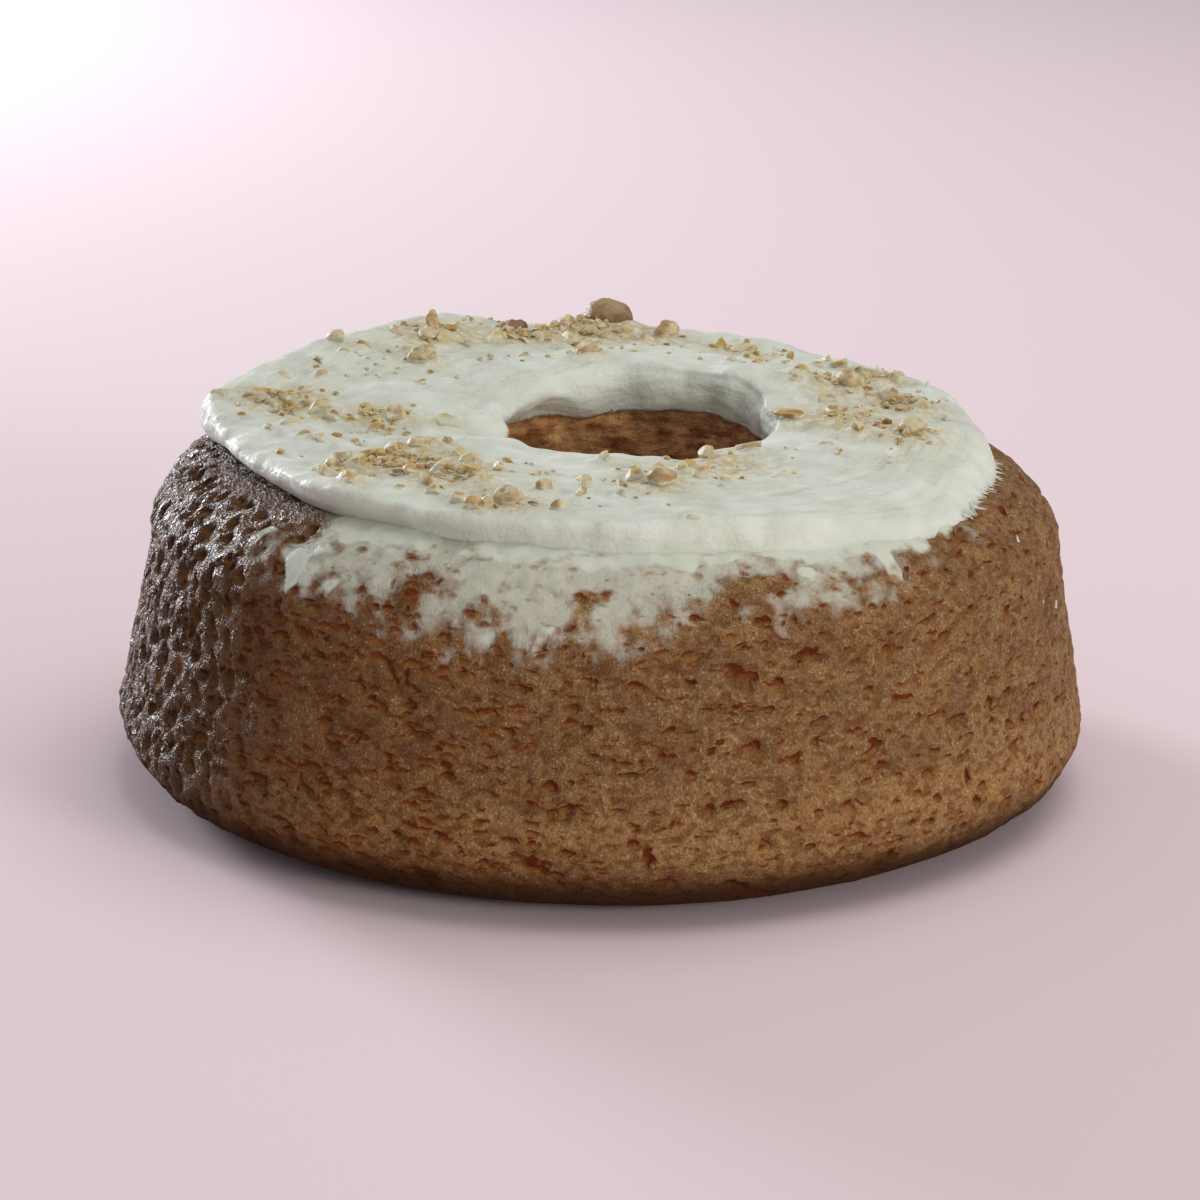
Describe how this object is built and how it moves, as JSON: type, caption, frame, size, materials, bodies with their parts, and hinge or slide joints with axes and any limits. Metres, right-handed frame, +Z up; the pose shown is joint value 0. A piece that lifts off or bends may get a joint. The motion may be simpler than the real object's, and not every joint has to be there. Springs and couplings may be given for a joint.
{
  "type": "ring cake",
  "caption": "Whole carrot ring cake: a baked brown sponge ring with a hole, cream icing spread thickly over its top, and chopped nuts scattered on the icing.",
  "frame": {"origin": "centre of the cake's footprint, on the surface it stands on", "axes": "+Z up along the ring's axis, -Y towards the side the picture shows"},
  "size_m": [0.1805, 0.18, 0.0762],
  "materials": {
    "sponge": "moist fine-pored brown cake crust",
    "icing": "satin off-white cream icing with fine spatula streaks",
    "nut": "pale chopped nut with toasted edges",
    "nut_skin": "dark brown nut skin"
  },
  "bodies": {
    "root": {"sponge": "sponge", "icing": "icing", "nut_chunk_01": "nut", "nut_chunk_02": "nut", "nut_chunk_03": "nut", "nut_chunk_04": "nut_skin", "nut_chunk_05": "nut", "nut_chunk_06": "nut", "nut_chunk_07": "nut", "nut_chunk_08": "nut", "nut_chunk_09": "nut"}
  },
  "joints": []
}
